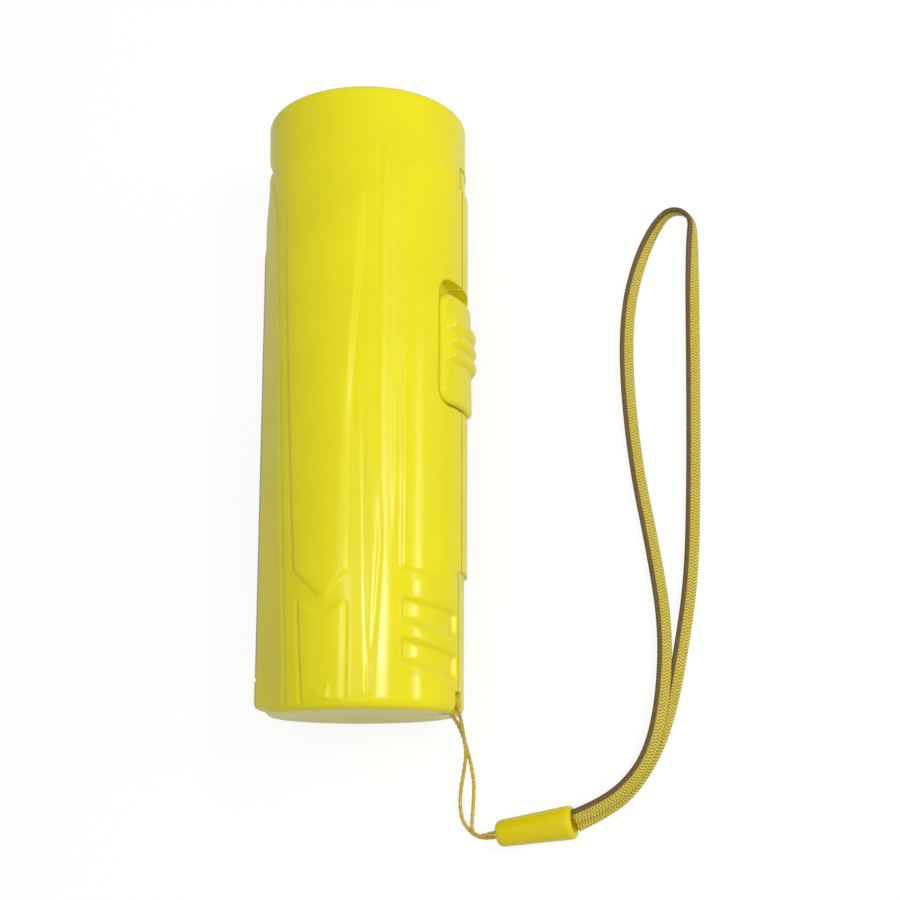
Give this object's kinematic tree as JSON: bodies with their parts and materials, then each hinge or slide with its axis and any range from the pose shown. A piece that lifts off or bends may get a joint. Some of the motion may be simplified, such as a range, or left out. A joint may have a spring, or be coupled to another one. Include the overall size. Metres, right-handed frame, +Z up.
{
  "type": "hand crank flashlight",
  "caption": "Round pocket torch with a folding crank and dynamo in one flank, slide switch, long side lamp, finger grips and a wrist strap on a ferrule.",
  "frame": {"origin": "on the table under the middle of the torch without its strap, as it lies on the flats of its crank flank", "axes": "+Y along the torch towards the lens, +X towards the slide switch, +Z up through the moulded flank"},
  "size_m": [0.089, 0.1487, 0.0397],
  "materials": {
    "body_yellow": "high gloss moulded plastic",
    "ferrule_yellow": "high gloss moulded plastic",
    "lamp_cover": "milky translucent plastic",
    "clear_lens": "clear polished",
    "reflector_chrome": "vacuum-plated mirror",
    "steel": "plain steel",
    "bush_brass": "turned brass",
    "copper_wire": "enamelled copper winding",
    "gear_nylon": "moulded nylon",
    "circuit_board": "green solder mask",
    "led_white": "clear resin over phosphor",
    "black_plastic": "moulded plastic",
    "cell_wrap": "shrink sleeve",
    "magnet_dark": "sintered magnet",
    "braid_yellow": "flat woven braid",
    "cord_yellow": "thin braided cord"
  },
  "bodies": {
    "housing": {"battery_cells": "steel", "battery_contacts": "steel", "battery_cradle": "black_plastic", "battery_wrap": "cell_wrap", "crank_bush": "bush_brass", "dynamo_can": "steel", "dynamo_coil": "copper_wire", "gear_pins": "steel", "gearbox_plate": "black_plastic", "head_led": "led_white", "led_board": "circuit_board", "lens": "clear_lens", "lens_ring": "body_yellow", "lower_shell": "body_yellow", "main_board": "circuit_board", "plate_screws": "steel", "reflector": "reflector_chrome", "shell_screws": "steel", "side_diffuser": "lamp_cover", "side_lamp_tray": "body_yellow", "side_led_board": "circuit_board", "side_leds": "led_white", "strap_braid": "braid_yellow", "strap_ferrule": "ferrule_yellow", "strap_pin": "steel", "strap_thin_cord": "cord_yellow", "switch_board": "circuit_board", "switch_body": "black_plastic", "upper_shell": "body_yellow"},
    "crank": {"crank_arm": "body_yellow", "crank_shaft": "steel", "crank_screw": "steel", "crank_gear": "gear_nylon", "fold_pin": "steel"},
    "knob_hinge_body": {"knob_hinge": "black_plastic", "knob_spindle": "steel"},
    "knob": {"crank_knob": "body_yellow"},
    "second_gear_body": {"second_gear": "gear_nylon"},
    "third_gear_body": {"third_gear": "gear_nylon"},
    "rotor": {"rotor_pinion": "gear_nylon", "rotor_shaft": "steel", "rotor_magnet": "magnet_dark"},
    "switch": {"switch_slider": "body_yellow", "switch_lever": "black_plastic"}
  },
  "joints": [
    {"name": "crank_spin", "type": "hinge", "parent": "housing", "child": "crank", "pos_m": [0, -0.002, 0.015], "axis": [0, 0, 1], "continuous": true},
    {"name": "knob_fold", "type": "hinge", "parent": "crank", "child": "knob_hinge_body", "pos_m": [0, -0.04, 0.0047], "axis": [-1, 0, 0], "range_deg": [0, 90]},
    {"name": "knob_spin", "type": "hinge", "parent": "knob_hinge_body", "child": "knob", "pos_m": [0, -0.04, 0.0047], "axis": [0, 1, 0], "continuous": true},
    {"name": "second_gear_spin", "type": "hinge", "parent": "housing", "child": "second_gear_body", "pos_m": [0, -0.0176, 0.015], "axis": [0, 0, 1], "continuous": true},
    {"name": "third_gear_spin", "type": "hinge", "parent": "housing", "child": "third_gear_body", "pos_m": [0, -0.0291, 0.015], "axis": [0, 0, 1], "continuous": true},
    {"name": "rotor_spin", "type": "hinge", "parent": "housing", "child": "rotor", "pos_m": [0, -0.0406, 0.015], "axis": [0, 0, 1], "continuous": true},
    {"name": "switch_slide", "type": "slide", "parent": "housing", "child": "switch", "axis": [0, 1, 0], "range_m": [0, 0.0026]}
  ],
  "couplings": [
    {"joint": "second_gear_spin", "follows": "crank_spin", "ratio": -3.3333},
    {"joint": "third_gear_spin", "follows": "crank_spin", "ratio": 12},
    {"joint": "rotor_spin", "follows": "crank_spin", "ratio": -43.2}
  ]
}
